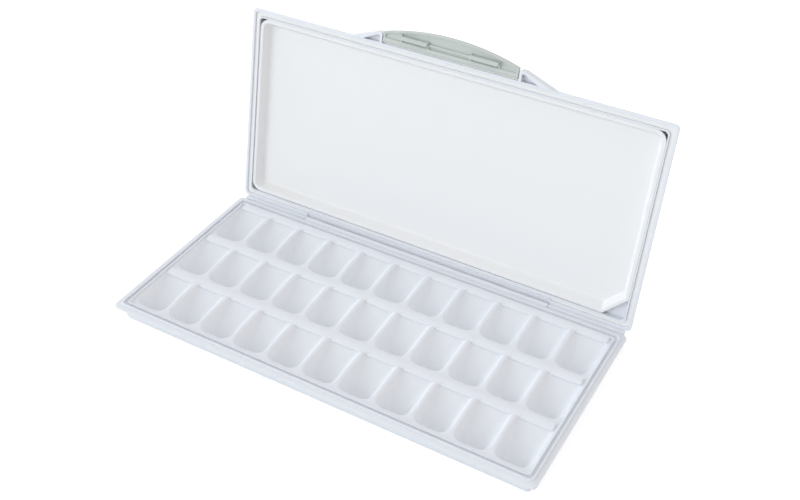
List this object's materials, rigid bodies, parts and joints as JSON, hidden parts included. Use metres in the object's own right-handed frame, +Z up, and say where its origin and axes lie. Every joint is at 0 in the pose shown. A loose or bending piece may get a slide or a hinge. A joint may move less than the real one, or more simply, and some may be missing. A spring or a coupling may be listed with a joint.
{
  "type": "watercolor palette",
  "caption": "Flat rectangular white paint box: rows of sloping wells, a hinged sealing lid with a lift-out mixing tray, and a latch bar on the lid's front edge.",
  "frame": {"origin": "middle of the base's underside, on the table under the centre well, midway between the flange's edges", "axes": "+X along the palette, to the right as seen from the front; +Y from the front to the hinge; +Z up"},
  "size_m": [0.34, 0.2066, 0.1847],
  "materials": {
    "shell_white": "glossy moulded white plastic",
    "tray_white": "glossy moulded white plastic, smooth mixing surface",
    "seal_silicone": "soft pale grey silicone",
    "latch_grey": "satin grey-green plastic",
    "pin_steel": "plain drawn wire"
  },
  "bodies": {
    "base": {"base_tray": "shell_white", "hinge_pin_left": "pin_steel", "hinge_pin_right": "pin_steel"},
    "lid": {"lid_shell": "shell_white", "lid_seal": "seal_silicone", "mixing_tray": "tray_white", "latch_pin_left": "pin_steel", "latch_pin_right": "pin_steel"},
    "latch": {"latch_handle": "latch_grey"}
  },
  "joints": [
    {"name": "lid_hinge", "type": "hinge", "parent": "base", "child": "lid", "pos_m": [0, 0.0812, 0.0119], "axis": [1, 0, 0], "range_deg": [0, 102.6]},
    {"name": "latch_turn", "type": "hinge", "parent": "lid", "child": "latch", "pos_m": [0, 0.11928, 0.17082], "axis": [1, 0, 0], "range_deg": [0, 90]}
  ]
}
